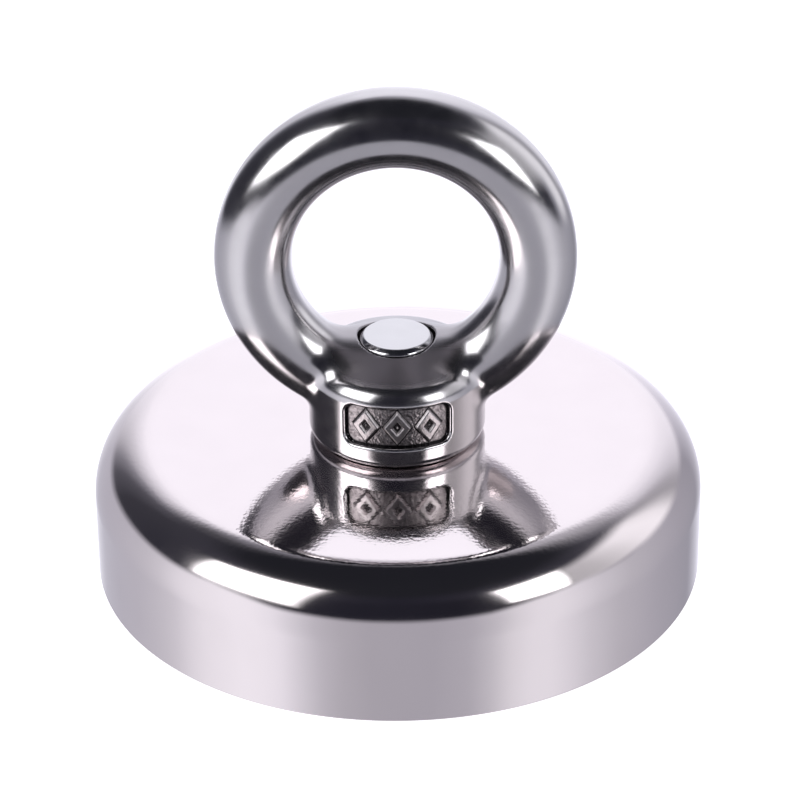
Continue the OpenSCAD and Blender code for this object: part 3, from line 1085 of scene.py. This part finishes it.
def make_skirt():
    """Round light wall that stands in for the table and the tent's lower edge in reflections:
    point(i, j) = (R sin a_j, R cos a_j, z_i). Its upper edge follows SKIRT_EDGE, and its light
    fades towards it over SKIRT_FADE."""
    sides = 128
    angle = np.linspace(0, TURN, sides, endpoint=False)
    azimuth = np.degrees(np.arctan2(np.sin(angle), -np.cos(angle)))
    top = np.interp(azimuth, *SKIRT_EDGE)
    height = np.stack([SKIRT_LOW + 0 * top, top - SKIRT_FADE, top - SKIRT_FADE / 2, top])
    circle = SKIRT_R * np.stack([np.sin(angle), np.cos(angle)], -1)
    points = np.concatenate([circle + 0 * height[..., None], height[..., None]], -1)
    faces = grid_faces(len(height), sides, loop=True)[:, [0, 3, 2, 1]]
    skirt = skin("table_light", points.reshape(-1, 3), faces.tolist())
    mark(skirt, "fade", np.repeat([0.0, 0.0, 0.5, 1.0], sides))
    material = bpy.data.materials.new("table_light")
    tree = fresh_tree(material)
    place = add(tree, "ShaderNodeTexCoord")
    parts = add(tree, "ShaderNodeSeparateXYZ", {0: place.outputs["Object"]})
    colour = azimuth_ramp(tree, parts.outputs["X"], parts.outputs["Y"], LOW_STOPS)
    glow = add(tree, "ShaderNodeEmission", {"Color": colour, "Strength": 1.0})
    fade = add(tree, "ShaderNodeAttribute", attribute_name="fade").outputs["Fac"]
    clear = add(tree, "ShaderNodeBsdfTransparent")
    either = add(tree, "ShaderNodeMixShader", {0: fade, 1: glow.outputs[0], 2: clear.outputs[0]})
    add(tree, "ShaderNodeOutputMaterial", {"Surface": either.outputs[0]})
    skirt.data.materials.append(material)
    skirt.visible_diffuse = False
    only_mirrored(skirt)


def make_tent():
    """Studio light from far away, in bands by elevation, each with its own light by azimuth: bright
    behind the object, dark overhead and between the cards. The camera sees a plain pale backdrop.
    """
    world = bpy.data.worlds.new("light_tent")
    bpy.context.scene.world = world
    tree = fresh_tree(world)
    way = add(tree, "ShaderNodeTexCoord").outputs["Generated"]
    parts = add(tree, "ShaderNodeSeparateXYZ", {0: way})
    x, y, z = (parts.outputs[k] for k in "XYZ")
    rise = add(tree, "ShaderNodeMath", {0: z}, operation="ARCSINE").outputs[0]
    leftward = add(tree, "ShaderNodeMath", {0: x, 1: -TABLE_TILT}, operation="MULTIPLY").outputs[0]
    leftward = add(tree, "ShaderNodeMath", {0: leftward, 1: 0.0}, operation="MAXIMUM").outputs[0]
    tilted = add(tree, "ShaderNodeMath", {0: rise, 1: leftward}, operation="ADD").outputs[0]
    colour, stand, wall, high = (azimuth_ramp(tree, x, y, stops)
                                 for stops in (LOW_STOPS, STAND_STOPS, WALL_STOPS, HIGH_STOPS))
    for (start, end), over, above in ((TABLE_EDGE, tilted, stand), (STAND_TOP, rise, wall),
                                      (WALL_TOP, rise, high), (TENT_TOP, rise, OVERHEAD)):
        share = add(tree, "ShaderNodeMapRange", {
            "Value": over, "From Min": math.radians(start), "From Max": math.radians(end),
        }, interpolation_type="SMOOTHSTEP").outputs["Result"]
        colour = add(tree, "ShaderNodeMix", {0: share, 6: colour, 7: above},
                     data_type="RGBA").outputs[2]
    seen = add(tree, "ShaderNodeLightPath").outputs["Is Camera Ray"]
    colour = add(tree, "ShaderNodeMix", {0: seen, 6: colour, 7: linear("#FDFDFD")},
                 data_type="RGBA").outputs[2]
    sky = add(tree, "ShaderNodeBackground", {"Color": colour, "Strength": 1.0})
    add(tree, "ShaderNodeOutputWorld", {"Surface": sky.outputs["Background"]})


def make_floor():
    """Plain pale floor. It is clear from below, so that the magnet's face can be looked at."""
    corners = FLOOR_HALF * np.array([[-1, -1, 0], [1, -1, 0], [1, 1, 0], [-1, 1, 0]])
    floor = skin("floor", corners + [0, 0, FLOOR_Z], [[0, 1, 2, 3]])
    material = bpy.data.materials.new("white_paper")
    tree = fresh_tree(material)
    paper = add(tree, "ShaderNodeBsdfPrincipled", {
        "Base Color": linear("#F2F2F2"), "Roughness": 0.9, "Specular IOR Level": 0.1,
        "Emission Color": linear("#FFFFFF"), "Emission Strength": 0.78,
    })
    clear = add(tree, "ShaderNodeBsdfTransparent")
    side = add(tree, "ShaderNodeNewGeometry").outputs["Backfacing"]
    either = add(tree, "ShaderNodeMixShader", {0: side, 1: paper.outputs[0], 2: clear.outputs[0]})
    add(tree, "ShaderNodeOutputMaterial", {"Surface": either.outputs[0]})
    floor.data.materials.append(material)
    floor.visible_glossy = False


def make_camera():
    """Long lens, 30 degrees above the floor, rolled by half a degree."""
    aim = np.array([0.35, 0, 21.85])
    elevation, roll, distance = 29.76, 0.567, 450.5
    data = bpy.data.cameras.new("camera")
    data.sensor_width = 36.0
    data.lens = 165.2
    data.clip_start, data.clip_end = 0.01, 50
    camera = bpy.data.objects.new("camera", data)
    bpy.context.scene.collection.objects.link(camera)
    camera.location = Vector((aim + distance * toward(0, elevation)) * MM)
    turn = Vector(-toward(0, elevation)).to_track_quat("-Z", "Y").to_matrix()
    camera.rotation_euler = (turn @ Matrix.Rotation(math.radians(-roll), 3, "Z")).to_euler()
    bpy.context.scene.camera = camera


light_card("left_soft_box", azimuth=-61.9, elevation=35.0, reach=297, facing=(-38.3, 20.1),
           roll=-0.5, half=(120, 107))
light_card("right_soft_box", azimuth=48.6, elevation=26.6, reach=189, facing=(77.6, 29.1),
           roll=-19.1, half=(45, 47))
make_skirt()
make_tent()
make_floor()
make_camera()
bpy.context.scene.view_settings.view_transform = "Standard"
